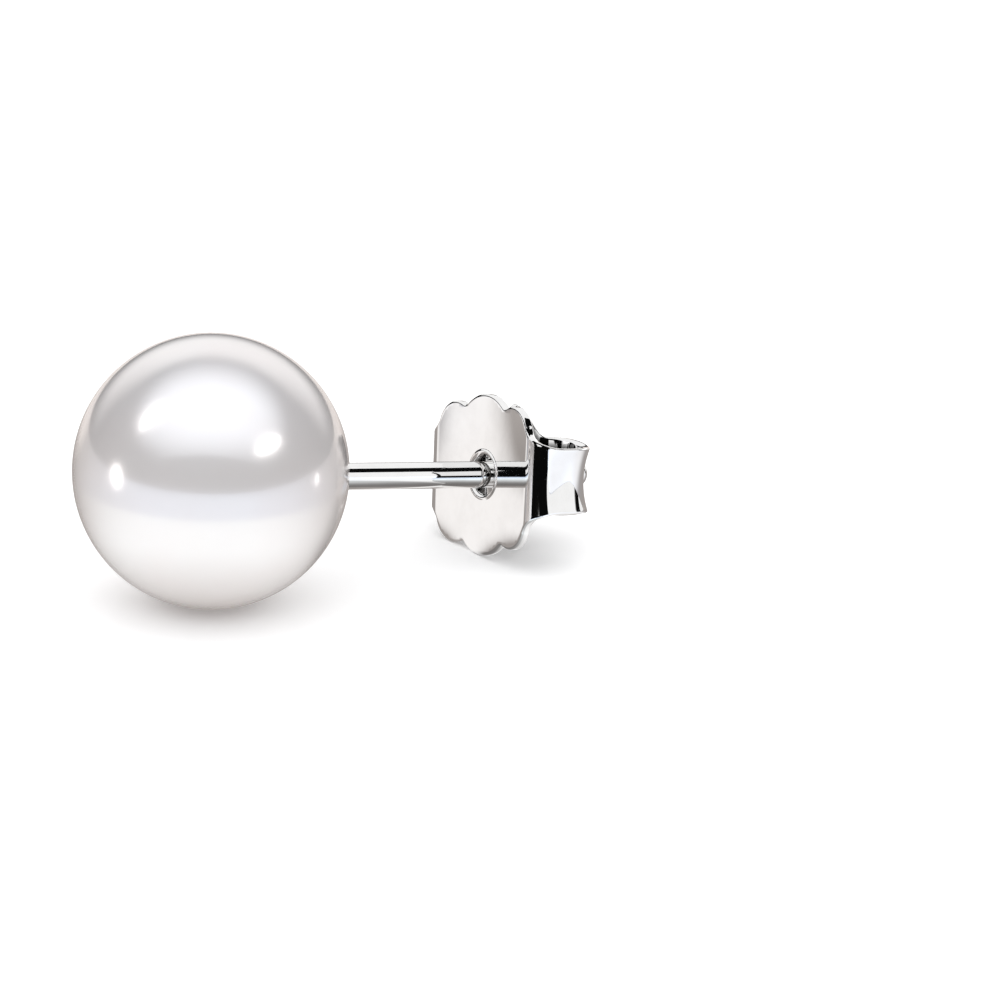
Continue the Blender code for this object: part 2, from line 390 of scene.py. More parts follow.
@dataclass(frozen=True)
class EarPost:
    """The peg in the pearl, the cup behind it and the wire, soldered into one. Sizes in millimetres."""

    pearl: PearlBead
    diameter: float = 0.80
    length: float = 9.3  # from the pearl's skin to the tip
    peg_diameter: float = 0.70
    peg_end_gap: float = 0.25
    cup_diameter: float = 1.40
    cup_standoff: float = 0.38  # from the pearl's skin to the back of the cup
    cup_edge_radius: float = 0.09
    pearl_clearance: float = 0.04
    solder_fillet: float = 0.07
    tip_radius: float = 0.25
    groove_setback: float = 1.30
    groove_width: float = 0.50
    groove_depth: float = 0.07
    groove_steps: int = 16
    sharp_angle: float = 40.0  # degrees
    sides: int = 128

    @property
    def cup_back(self) -> float:
        """Returns how far along the post the cup's back face lies."""
        return self.pearl.radius + self.cup_standoff

    def profile(self) -> list[Vector]:
        """Returns the turned outline from the peg's blunt end, over the cup and along the wire to the tip."""
        peg, wire, cup = self.peg_diameter / 2, self.diameter / 2, self.cup_diameter / 2
        seat = self.pearl.radius + self.pearl_clearance
        peg_end = self.pearl.radius - self.pearl.drill_depth + self.peg_end_gap
        tip = self.pearl.radius + self.length
        groove = tip - self.groove_setback
        points = [Vector((peg_end, 0.0)), Vector((peg_end, peg))]
        inner, outer = (math.degrees(math.asin(radius / seat)) for radius in (peg, cup))
        points += arc((0, 0), seat, inner, outer, 10)
        edge = self.cup_edge_radius
        points += arc((self.cup_back - edge, cup - edge), edge, 90, 0, 10)
        fillet = self.solder_fillet
        points += arc((self.cup_back + fillet, wire + fillet), fillet, 180, 270, 6)
        for i in range(self.groove_steps + 1):
            share = i / self.groove_steps
            depth = self.groove_depth * math.sin(math.pi * share) ** 2
            points.append(Vector((groove + self.groove_width * (share - 0.5), wire - depth)))
        points += arc((tip - self.tip_radius, wire - self.tip_radius), self.tip_radius, 90, 0, 14)
        return points + [Vector((tip, 0.0))]

    def build(self, to_world: Matrix) -> bpy.types.Object:
        """Builds the post and seats its cup on the pearl, whose centre lies off the post's axis.

        Args:
            to_world: The matrix from the earring's frame to the world.

        Returns:
            The post.
        """
        bm = turned(self.profile(), self.sides)
        seat = self.pearl.radius + self.pearl_clearance
        for vert in bm.verts:
            if abs(vert.co.length - seat) < TINY:
                vert.co.x = math.sqrt(seat**2 - vert.co.y**2 - (vert.co.z - self.pearl.rise) ** 2)
        obj = make_object("ear_post_wire", bm, to_world)
        obj.data.set_sharp_from_angle(angle=math.radians(self.sharp_angle))
        return obj


@dataclass(frozen=True)
class Stretch:
    """One stretch of the butterfly's sheet, from the middle of the plate outwards."""

    name: str
    length: float
    turn: float  # radians, backwards and then inwards
    steps: int


@dataclass(frozen=True)
class ButterflyBack:
    """A stamped sheet: a scalloped plate round the post's hole, with an ear curled in at either side.

    The blank is a flat outline in (along, up) on one quarter, thickened, rounded at its rim, cut across where
    it bends, bent and mirrored. Sizes in millimetres.
    """

    post: EarPost
    sheet: float = 0.27
    plate_standoff: float = 5.55  # from the pearl's skin to the front of the plate
    hole_diameter: float = 1.20
    middle_lobe_radius: float = 1.456
    middle_lobe_centre: float = 0.964
    side_lobe_radius: float = 0.870
    side_lobe_centre: float = 1.26
    side_lobe_offset: float = 1.45
    root_half_width: float = 1.38
    ear_half_width: float = 0.97
    ear_end_half_width: float = 2.15
    waist_power: float = 3.2  # how early the strip narrows
    roll_widening: float = 0.20  # the strip's extra half width at the back of the curl
    roll_widens: tuple[float, float] = (0.25, 0.7)  # shares of the roll
    flare_start: float = 0.82  # share of the roll
    flare_end: float = 0.8  # share of the end
    end_corner: float = 0.3  # the end's corner radius, as a share of its length
    trough_depth: float = 0.17
    trough_start: float = 0.3  # share of the bend
    # Painted shade: the hole's wall and the curl's inside are darkened in the metal's colour, where shade
    # falls.
    hole_shade: float = 0.95  # how dark the painted shade on the hole's wall is
    hole_shade_reach: float = 0.25  # how far round the hole that ends
    hole_shade_depth: float = 0.3  # how deep in the hole that starts, in half sheets
    curl_shade: float = 0.85  # how dark the painted shade on the curl's inside is
    curl_shade_start: float = 0.5  # share of the bend
    curl_shade_reach: float = 0.5  # how long along the sheet that takes to start
    curl_shade_rim: float = 0.20  # how far from the curl's edge that starts
    plate_flat: float = 1.20
    plate_turn: float = 2.5  # degrees that the plate dishes forward up to its shoulder
    shoulder_length: float = 1.092  # chosen for these turns, so that the butterfly keeps the part's width
    shoulder_turn: float = 2.5  # degrees more, over the shoulder
    dish_setback: float = 0.05  # how far behind the plate's nominal front the dish's middle lies
    bend_radius: float = 0.40
    back_depth: float = 2.50
    post_grip_clearance: float = 0.03
    ear_end_gap: float = 0.30
    rim_rounding: float = 0.075
    hole_rounding: float = 0.11
    lip_width: float = 0.07
    lip_height: float = 0.035
    lip_rings: tuple[float, ...] = (0.2, 0.4, 0.6, 0.8, 1.0, 1.5)  # rings of facets, in lip widths
    notch_fillet: float = 0.11
    root_fillet: float = 0.20
    fillet_share: float = 0.98  # how much of a corner's cut-back edge its fillet takes
    rim_angle: float = 60.0  # degrees: a sharper edge of the blank is rounded
    fine_cut: float = 0.06  # between cuts across the sheet, up to fine_height
    fine_height: float = 1.2
    coarse_cut: float = 0.12
    coarse_height: float = 2.4

    @property
    def plate_front(self) -> float:
        """Returns how far along the post the plate's front face lies."""
        return self.post.pearl.radius + self.plate_standoff

    @cached_property
    def sheet_line(self) -> list[Stretch]:
        """Returns the sheet's stretches from the plate's middle to the end of an ear."""
        flat = Stretch("flat", self.plate_flat, -math.radians(self.plate_turn), 12)
        shoulder = Stretch("shoulder", self.shoulder_length, -math.radians(self.shoulder_turn), 14)
        heading = flat.turn + shoulder.turn
        bend = Stretch("bend", self.bend_radius * (math.pi / 2 - heading), math.pi / 2 - heading, 30)
        reach, bend_end, _ = self.follow([flat, shoulder, bend], math.inf)
        grip = self.post.diameter / 2 + self.post_grip_clearance + self.sheet / 2
        roll_radius = (reach - grip) / 2
        roll_start = self.back_depth - self.sheet / 2 - roll_radius
        leg = Stretch("leg", roll_start - bend_end, 0.0, 8)
        roll = Stretch("roll", roll_radius * math.pi, math.pi, 64)
        end = Stretch("end", roll_start - self.sheet - self.ear_end_gap, 0.0, 10)
        return [flat, shoulder, bend, leg, roll, end]

    def station(self, name: str, share: float = 0.0) -> float:
        """Finds a distance along the sheet.

        Args:
            name: The stretch.
            share: How far into it, from 0 to 1.

        Returns:
            The distance from the plate's middle.
        """
        along = 0.0
        for stretch in self.sheet_line:
            if stretch.name == name:
                return along + share * stretch.length
            along += stretch.length
        raise KeyError(name)

    def follow(self, stretches: list[Stretch], along: float) -> tuple[float, float, float]:
        """Follows the sheet's middle line.

        Args:
            stretches: The stretches, from the plate's middle outwards.
            along: The distance from the plate's middle.

        Returns:
            How far out and how far back the line is there, and its heading in radians.
        """
        out, back, heading, left = 0.0, self.sheet / 2 + self.dish_setback, 0.0, along
        for stretch in stretches:
            part = min(left, stretch.length)
            if part > 0:
                turn = stretch.turn * part / stretch.length
                middle = heading + turn / 2
                chord = part if abs(turn) < TINY else part * math.sin(turn / 2) / (turn / 2)
                out += chord * math.cos(middle)
                back += chord * math.sin(middle)
                heading += turn
            left -= stretch.length
        return out, back, heading

    def lobe_notch(self) -> tuple[float, float]:
        """Returns the notch's angle on the middle lobe's circle and on the side lobe's, in degrees."""
        across = Vector((self.side_lobe_offset, self.side_lobe_centre - self.middle_lobe_centre))
        apart = across.length
        along = (self.middle_lobe_radius**2 - self.side_lobe_radius**2 + apart**2) / (2 * apart)
        aside = math.sqrt(self.middle_lobe_radius**2 - along**2)
        ahead = across / apart
        notch = along * ahead + aside * Vector((-ahead.y, ahead.x))
        on_middle = math.degrees(math.atan2(notch.y, notch.x))
        on_side = math.degrees(math.atan2(notch.y - across.y, notch.x - across.x))
        return on_middle, on_side

    def strip_half_width(self, along: float) -> float:
        """Half the ear strip's width: it narrows from its root, then flares at its curled end.

        Args:
            along: The distance along the sheet.

        Returns:
            The half width there.
        """
        root, leg = self.side_lobe_offset + self.side_lobe_radius, self.station("leg", 1.0)
        wide = max(0.0, 1 - max(0.0, along - root) / (leg - root)) ** self.waist_power
        width = self.root_half_width + (self.ear_half_width - self.root_half_width) * (1 - wide)
        starts, ends = (self.station("roll", share) for share in self.roll_widens)
        width += self.roll_widening * ease((along - starts) / (ends - starts))
        starts, ends = self.station("roll", self.flare_start), self.station("end", self.flare_end)
        flare = ease((along - starts) / (ends - starts))
        return width + (self.ear_end_half_width - self.ear_half_width - self.roll_widening) * flare

    def cut_stations(self) -> list[float]:
        """Returns the distances along the sheet where it is cut into facets."""
        found = []
        for stretch in self.sheet_line:
            found += [self.station(stretch.name, i / stretch.steps) for i in range(stretch.steps)]
        return found[1:]

    def outline(self) -> tuple[list[Vector], list[Vector]]:
        """Returns a quarter of the blank's edge, from the top to the ear's end, and its inner corners."""
        on_middle, on_side = self.lobe_notch()
        rise = (self.root_half_width - self.side_lobe_centre) / self.side_lobe_radius
        root_angle = math.degrees(math.asin(rise))
        middle = arc((0, self.middle_lobe_centre), self.middle_lobe_radius, 90, on_middle, 30)
        side_centre = (self.side_lobe_offset, self.side_lobe_centre)
        side = arc(side_centre, self.side_lobe_radius, on_side, root_angle, 36)
        notch, root = side[0], side[-1]
        end = self.station("end", 1.0)
        corner = self.end_corner * self.sheet_line[-1].length
        stations = [station for station in self.cut_stations() if root.x < station < end - corner]
        strip = [Vector((station, self.strip_half_width(station))) for station in stations]
        last = self.strip_half_width(end)
        round_end = arc((end - corner, last - corner), corner, 90, 0, 10)
        edge = middle + side[1:] + strip + round_end
        kept = [
            point
            for point in edge
            if point in (notch, root)
            or ((point - notch).length > self.notch_fillet and (point - root).length > self.root_fillet)
        ]
        kept[0].x = 0.0
        return kept, [notch, root]

    def flat_quarter(self) -> bmesh.types.BMesh:
        """Returns a bmesh with one quarter of the flat blank, as rings round the hole and one large face."""
        bm = bmesh.new()
        hole = self.hole_diameter / 2
        rings = [hole, hole + self.hole_rounding + 0.01]
        rings += [rings[1] + step * self.lip_width for step in self.lip_rings]
        quarter_steps = 24
        line = [bm.verts.new((radius, 0, 0)) for radius in rings]
        edges = [bm.edges.new(pair) for pair in zip(line, line[1:])]
        bmesh.ops.spin(
            bm, geom=line + edges, axis=(0, 0, 1), cent=(0, 0, 0), angle=math.pi / 2, steps=quarter_steps
        )
        edge, corners = self.outline()
        around = arc((0, 0), rings[-1], 90, 0, quarter_steps)
        end = Vector((edge[-1].x, 0.0))
        loop = edge + [end] + around[::-1]
        bm.faces.new([bm.verts.new((point.x, point.y, 0)) for point in loop])
        for corner, size in zip(corners, (self.notch_fillet, self.root_fillet)):
            vert = min(bm.verts, key=lambda v: (v.co.xy - corner).length)
            bmesh.ops.bevel(
                bm,
                geom=[vert],
                offset=self.fillet_share * size,
                affect="VERTICES",
                segments=8,
                profile=0.5,
                material=-1,
            )
        bmesh.ops.remove_doubles(bm, verts=bm.verts, dist=WELD)
        bmesh.ops.recalc_face_normals(bm, faces=bm.faces)
        return bm

    def round_rims(self, bm: bmesh.types.BMesh) -> None:
        """Rounds the hole's edges and the blank's edges, but not the quarter's seams.

        Args:
            bm: The thickened quarter.
        """
        hole_reach = self.hole_diameter / 2 + TINY
        rims: dict[bool, list[bmesh.types.BMEdge]] = {True: [], False: []}
        for edge in bm.edges:
            first, last = (vert.co for vert in edge.verts)
            level = abs(first.z - last.z) < TINY
            on_seam = all(co.x < TINY for co in (first, last)) or all(co.y < TINY for co in (first, last))
            if level and not on_seam and edge.calc_face_angle(0.0) > math.radians(self.rim_angle):
                rims[first.xy.length < hole_reach].append(edge)
        for at_hole, offset in ((True, self.hole_rounding), (False, self.rim_rounding)):
            bmesh.ops.bevel(
                bm,
                geom=rims[at_hole],
                offset=offset,
                affect="EDGES",
                segments=5,
                profile=0.5,
                material=-1,
                clamp_overlap=False,
            )

    def pressed(self, along: float, up: float) -> float:
        """How far the ear strip's middle is pressed in from its outer face.

        Args:
            along: The distance along the sheet.
            up: The height over the post's axis.

        Returns:
            The depth, towards the inside of the bends.
        """
        start, end = self.station("bend", self.trough_start), self.station("leg", 1.0)
        inside = 1 - min(1.0, abs(up) / self.strip_half_width(along)) ** 2
        return self.trough_depth * ease((along - start) / (end - start)) * inside

    def painted_shade(self, point: Vector) -> float:
        """How much painted shade a point of the flat quarter gets, in the hole or the curl, where shade
        falls.

        Args:
            point: The point of the flat quarter, with its front at z 0.

        Returns:
            A share from 0 to 1.
        """
        depth = 2 * point.z / self.sheet
        hole = 1 - ease((math.hypot(point.x, point.y) - self.hole_diameter / 2) / self.hole_shade_reach)
        rim = ease((self.strip_half_width(point.x) - abs(point.y) - self.rim_rounding) / self.curl_shade_rim)
        hole *= ease(depth - self.hole_shade_depth)
        curl = ease((point.x - self.station("bend", self.curl_shade_start)) / self.curl_shade_reach)
        return max(self.hole_shade * hole, self.curl_shade * curl * rim * ease(depth - 1))

    def raised_lip(self, along: float, up: float) -> float:
        """How far the sheet stands proud round the hole.

        Args:
            along: The distance along the sheet.
            up: The height over the post's axis.

        Returns:
            The height of the lip over the plate's front.
        """
        outwards = math.hypot(along, up) - self.hole_diameter / 2 - self.hole_rounding
        return self.lip_height * (1 - ease(outwards / self.lip_width))

    def bent(self, point: Vector) -> Vector:
        """Finds where a point of the flat quarter lies in the finished butterfly.

        Args:
            point: The point of the flat quarter, with its front at z 0.

        Returns:
            The point in the earring's frame.
        """
        out, back, heading = self.follow(self.sheet_line, point.x)
        lip = self.raised_lip(point.x, point.y) * (1 - point.z / self.sheet)
        depth = point.z - self.sheet / 2 + self.pressed(point.x, point.y) - lip
        out -= depth * math.sin(heading)
        back += depth * math.cos(heading)
        return Vector((self.plate_front + back, out, point.y))

    def build(self, to_world: Matrix) -> bpy.types.Object:
        """Builds the butterfly back.

        Args:
            to_world: The matrix from the earring's frame to the world.

        Returns:
            The butterfly back.
        """
        bm = self.flat_quarter()
        made = bmesh.ops.extrude_face_region(bm, geom=bm.faces[:])
        raised = [v for v in made["geom"] if isinstance(v, bmesh.types.BMVert)]
        bmesh.ops.translate(bm, verts=raised, vec=(0, 0, self.sheet))
        bmesh.ops.recalc_face_normals(bm, faces=bm.faces)
        self.round_rims(bm)
        seams = [
            face
            for face in bm.faces
            if all(abs(v.co.x) < TINY for v in face.verts) or all(abs(v.co.y) < TINY for v in face.verts)
        ]
        bmesh.ops.delete(bm, geom=seams, context="FACES")
        fine = round(self.fine_height / self.fine_cut)
        coarse = round((self.coarse_height - self.fine_height) / self.coarse_cut)
        heights = [self.fine_cut * i for i in range(1, fine + 1)]
        heights += [self.fine_height + self.coarse_cut * i for i in range(1, coarse + 1)]
        cuts = [(X_AXIS * station, X_AXIS) for station in self.cut_stations()]
        cuts += [(Y_AXIS * height, Y_AXIS) for height in heights]
        for place, normal in cuts:
            geometry = bm.verts[:] + bm.edges[:] + bm.faces[:]
            bmesh.ops.bisect_plane(bm, geom=geometry, dist=WELD, plane_co=place, plane_no=normal)
        # Painted shade for the hole and the curl, kept on each vertex for the metal's colour.
        painted_shade_layer = bm.verts.layers.float.new("painted_shade")
        for vert in bm.verts:
            vert[painted_shade_layer] = self.painted_shade(vert.co)
            vert.co = self.bent(vert.co)
        for axis in ("Y", "Z"):
            geometry = bm.verts[:] + bm.edges[:] + bm.faces[:]
            bmesh.ops.mirror(bm, geom=geometry, matrix=Matrix.Identity(4), merge_dist=TINY, axis=axis)
        bmesh.ops.remove_doubles(bm, verts=bm.verts, dist=WELD)
        bmesh.ops.recalc_face_normals(bm, faces=bm.faces)
        obj = make_object("butterfly_nut", bm, to_world)
        weighted = obj.modifiers.new("even_shading", "WEIGHTED_NORMAL")
        weighted.mode = "FACE_AREA"
        weighted.weight = 50
        return obj


def surface_life() -> bpy.types.NodeTree:
    """Makes the node group for fine unevenness that both finishes use: a soft mottling and a faint ripple."""
    group = bpy.data.node_groups.new("surface_life", "ShaderNodeTree")
    for name in ("Scale", "Detail", "Ripple"):
        group.interface.new_socket(name, in_out="INPUT", socket_type="NodeSocketFloat")
    group.interface.new_socket("Mask", in_out="OUTPUT", socket_type="NodeSocketFloat")
    group.interface.new_socket("Normal", in_out="OUTPUT", socket_type="NodeSocketVector")
    pen = NodeSketch(group)
    given = group.nodes.new("NodeGroupInput").outputs
    result = group.nodes.new("NodeGroupOutput").inputs
    place = pen.add("TexCoord").outputs["Object"]
    noise = pen.add("TexNoise", Vector=place, Scale=given["Scale"], Detail=given["Detail"], Roughness=0.55)
    mask = pen.step(noise.outputs["Fac"], 0.3, 0.7)
    bump = pen.add("Bump", Height=noise.outputs["Fac"], Distance=given["Ripple"])
    pen.feed(result["Mask"], mask)
    pen.feed(result["Normal"], bump.outputs["Normal"])
    return group


def live_surface(
    pen: NodeSketch, group: bpy.types.NodeTree, scale: float, detail: float, ripple: float
) -> tuple[bpy.types.NodeSocket, bpy.types.NodeSocket]:
    """Places the unevenness in a material.

    Args:
        pen: The material's node sketch.
        group: The node group.
        scale: How many patches there are to a metre.
        detail: How many finer layers the mottling has.
        ripple: The ripple's height, in metres.

    Returns:
        The mask and the normal.
    """
    node = pen.add("Group", {"node_tree": group}, Scale=scale, Detail=detail, Ripple=ripple)
    return node.outputs["Mask"], node.outputs["Normal"]


@dataclass(frozen=True)
class NacreFinish:
    """The pearl's lustre: a soft body that mirrors a little, under a clear skin. Colours are linear."""

    body: tuple[float, float, float] = (0.890, 0.872, 0.862)
    body_clouded: tuple[float, float, float] = (0.880, 0.850, 0.838)
    lustre: float = 0.33  # how much of the body mirrors
    roughness: tuple[float, float] = (0.19, 0.22)
    skin_roughness: float = 0.03
    skin_index: float = 1.55
    skin_tint: tuple[float, float, float] = (0.985, 0.955, 0.940)
    clouds: float = 420.0  # to a metre
    cloud_layers: float = 3.0
    ripple: float = 1.2e-6  # metres

    def material(self, group: bpy.types.NodeTree) -> bpy.types.Material:
        """Makes the nacre material.

        Args:
            group: The node group of unevenness.

        Returns:
            The material.
        """
        material, shader, pen = new_material("pearl_nacre")
        mask, normal = live_surface(pen, group, self.clouds, self.cloud_layers, self.ripple)
        low, high = self.roughness
        pen.fill(
            shader,
            Base_Color=pen.blend(mask, (*self.body, 1.0), (*self.body_clouded, 1.0)),
            Roughness=pen.math("MULTIPLY_ADD", mask, high - low, low),
            Normal=normal,
            Metallic=self.lustre,
            Coat_Weight=1.0,
            Coat_Roughness=self.skin_roughness,
            Coat_IOR=self.skin_index,
            Coat_Tint=(*self.skin_tint, 1.0),
        )
        return material


@dataclass(frozen=True)
class PolishedMetalFinish:
    """White metal polished to a mirror, with the faint waviness of a buffing wheel and painted shade in the
    hole and the curl. Colours are linear.
    """

    bright: tuple[float, float, float] = (0.905, 0.903, 0.900)
    dull: tuple[float, float, float] = (0.870, 0.866, 0.862)
    painted_shade_colour: tuple[float, float, float] = (0.030, 0.029, 0.028)  # painted shade, nearly black, in the hole and inside the curl
    roughness: tuple[float, float] = (0.025, 0.06)
    patches: float = 1600.0  # to a metre
    patch_layers: float = 2.0
    ripple: float = 0.5e-6  # metres

    def material(self, group: bpy.types.NodeTree) -> bpy.types.Material:
        """Makes the polished metal.

        Args:
            group: The node group of unevenness.

        Returns:
            The material.
        """
        material, shader, pen = new_material("polished_white_metal")
        mask, normal = live_surface(pen, group, self.patches, self.patch_layers, self.ripple)
        polished = pen.blend(mask, (*self.bright, 1.0), (*self.dull, 1.0))
        # The metal turns nearly black where the painted shade lies.
        painted_shade = pen.add("Attribute", {"attribute_name": "painted_shade"}).outputs["Fac"]
        low, high = self.roughness
        pen.fill(
            shader,
            Base_Color=pen.blend(painted_shade, polished, (*self.painted_shade_colour, 1.0)),
            Roughness=pen.math("MULTIPLY_ADD", mask, high - low, low),
            Normal=normal,
            Metallic=1.0,
        )
        return material


@dataclass(frozen=True)
class StudioCamera:
    """The camera, placed as it stands to the earring. Distances in millimetres, angles in degrees."""

    pivot: Vector = Vector((5.0, 0.0, 0.0))
    azimuth: float = -35.44
    elevation: float = 4.24
    roll: float = 2.09
    distance: float = 150.0
    slide: tuple[float, float] = (4.263, -0.699)  # to the right and up, across the view
    lens: float = 183.6
    sensor: float = 36.0

    def place(self, to_world: Matrix) -> bpy.types.Object:
        """Creates the camera.

        Args:
            to_world: The matrix from the earring's frame to the world.

        Returns:
            The camera, set as the scene's own.
        """
        azimuth, elevation, roll = (math.radians(a) for a in (self.azimuth, self.elevation, self.roll))
        level = math.cos(elevation)
        back = Vector((math.sin(azimuth) * level, -math.cos(azimuth) * level, math.sin(elevation)))
        flat_right = Vector((math.cos(azimuth), math.sin(azimuth), 0.0))
        flat_up = back.cross(flat_right)
        right = flat_right * math.cos(roll) + flat_up * math.sin(roll)
        up = flat_up * math.cos(roll) - flat_right * math.sin(roll)
        eye = self.pivot + back * self.distance + right * self.slide[0] + up * self.slide[1]
        turn = to_world.to_quaternion().to_matrix()
        data = bpy.data.cameras.new("studio_camera")
        data.lens = self.lens
        data.sensor_width = self.sensor
        data.clip_start = 10 * MM
        data.clip_end = 10.0
        camera = bpy.data.objects.new("studio_camera", data)
        axes = Matrix((turn @ right, turn @ up, turn @ back)).transposed()
        camera.matrix_world = Matrix.Translation(to_world @ eye) @ axes.to_4x4()
        bpy.context.scene.collection.objects.link(camera)
        bpy.context.scene.camera = camera
        return camera


@dataclass(frozen=True)
class Lamp:
    """A small bright lamp in camera axes: to the right, behind the earring and up."""

    name: str
    towards: Vector
    length: float  # degrees that it fills, seen from its glint on the pearl
    width: float
    turn: float  # degrees from upright, clockwise from behind the lamp
    reach: float  # metres
    strength: float


@dataclass(frozen=True)
class Panel:
    """A flat soft light, as it stands round the earring. Places are shares of the studio's reach."""

    name: str
    centre: Vector
    away: Vector  # square to the panel, away from the earring
    up: Vector
    size: tuple[float, float]
    strength: float
    fades: tuple[float, float, float, float] = (0.0, 0.0, 0.0, 0.0)  # left, right, bottom and top, as shares


@dataclass(frozen=True)
class Fan:
    """A wedge of light on the floor, which the plate or the ear mirrors. Millimetres, and degrees from +X."""

    apex: Vector
    way: float
    full_to: float
    none_from: float
    start: float  # from the apex
    strength: float
    rise: float = 3.0  # how far before its start it begins to show

    def pattern(self, pen: NodeSketch, place: bpy.types.NodeSocket) -> bpy.types.NodeSocket:
        """Draws the fan.

        Args:
            pen: The light's node sketch.
            place: The place on the floor.

        Returns:
            Its strength there.
        """
        reach, turn = pen.around(place, self.apex, self.way)
        inner, outer = math.cos(math.radians(self.full_to)), math.cos(math.radians(self.none_from))
        started = pen.step(reach, self.start - self.rise, self.start)
        return pen.times(self.strength, pen.step(turn, outer, inner), started)


@dataclass(frozen=True)
class SoftLight:
    """The large light over the pearl, crisp at its front edge and soft behind and at its sides.

    Places on it, here called ceiling places, are a direction's part to the right and its part towards the
    camera, each over its part upwards.
    """

    strength: float = 1.62
    tint: tuple[float, float, float] = (0.86, 0.92, 1.0)
    half: tuple[float, float] = (2.5, 1.7)
    middle: float = 0.75  # towards the camera
    front_share: float = 0.44  # how bright it is at its front edge
    full_share: tuple[float, float] = (1.75, 0.45)  # it brightens to the full over this stretch
    front_edge: tuple[float, float] = (1.68, 1.58)
    front_bow: float = 0.09
    rear_edge: tuple[float, float] = (-0.75, 0.05)
    rear_bow: float = 0.25
    side_edge: tuple[float, float] = (2.5, 0.2)

    def pattern(self, pen: NodeSketch) -> bpy.types.NodeSocket:
        """Draws the light's outline and how it brightens.

        Args:
            pen: The light's node sketch.

        Returns:
            Its strength at each place.
        """
        half_across, half_along = self.half
        place = pen.on_light()
        right = pen.math("MULTIPLY_ADD", place["X"], 2 * half_across, -half_across)
        front = pen.math("MULTIPLY_ADD", place["Y"], -2 * half_along, self.middle + half_along)
        squared = pen.times(right, right)
        brightened = pen.times(1 - self.front_share, pen.step(front, *self.full_share))
        return pen.times(
            self.strength,
            pen.step(pen.total(front, pen.times(-self.front_bow, squared)), *self.front_edge),
            pen.step(pen.total(front, pen.times(-self.rear_bow, squared)), *self.rear_edge),
            pen.step(pen.math("ABSOLUTE", right), *self.side_edge),
            pen.total(self.front_share, brightened),
        )


@dataclass(frozen=True)
class FloorLook:
    """What the polished surfaces mirror of the floor, as a painted reflection that the floor shows only to
    glossy rays: a pool of light on a greyer ground, with painted shade under the post.

    Places are in millimetres on the floor, colours are linear, directions are degrees from +X, and sides are
    given as cosines of the turn from the camera's way.
    """

    pearl_foot: Vector = Vector((-4.6, 0.0))
    camera_way: float = -124.5
    pool_foot: tuple[float, float] = (0.5, 6.5)  # the pool brightens outwards over this stretch
    pool_edge: tuple[float, float] = (12.4, 13.0)
    pool: tuple[float, float, float] = (1.28, 1.39, 1.45)
    beyond: tuple[float, float, float] = (0.84, 0.95, 1.13)
    ground: tuple[float, float, float] = (0.36, 0.33, 0.315)
    far_ground: tuple[float, float, float] = (0.86, 0.80, 0.76)  # behind the earring
    far_reach: tuple[float, float] = (14.0, 40.0)
    front_side: tuple[float, float] = (-0.75, 0.92)
    rear_side: tuple[float, float] = (-0.6, -0.8)
    post_shade: float = 0.5  # how bright the painted shade under the post leaves the floor, as a share
    shade_along: tuple[tuple[float, float], ...] = ((-2.0, 0.5), (8.0, 5.5))
    shade_aside: tuple[tuple[float, float], ...] = ((0.5, -0.5), (-4.0, -1.0))

    def pattern(self, pen: NodeSketch) -> bpy.types.NodeSocket:
        """Draws the look.

        Args:
            pen: The floor's node sketch.

        Returns:
            Its colour.
        """
        place = pen.scaled(pen.add("TexCoord").outputs["Object"], 1 / MM)
        reach, turn = pen.around(place, self.pearl_foot, self.camera_way)
        pool = pen.blend(pen.step(reach, *self.pool_foot), (*self.ground, 1), (*self.pool, 1))
        front = pen.blend(pen.step(reach, *self.pool_edge), pool, (*self.beyond, 1))
        behind = pen.times(pen.step(reach, *self.far_reach), pen.step(turn, *self.rear_side))
        ground = pen.blend(behind, (*self.ground, 1), (*self.far_ground, 1))
        look = pen.blend(pen.step(turn, *self.front_side), ground, front)
        along, aside = pen.along(place, X_AXIS), pen.along(place, Y_AXIS)
        under = [pen.step(along, *edge) for edge in self.shade_along]
        under += [pen.step(aside, *edge) for edge in self.shade_aside]
        return pen.scaled(look, pen.total(1.0, pen.times(self.post_shade - 1, *under)))


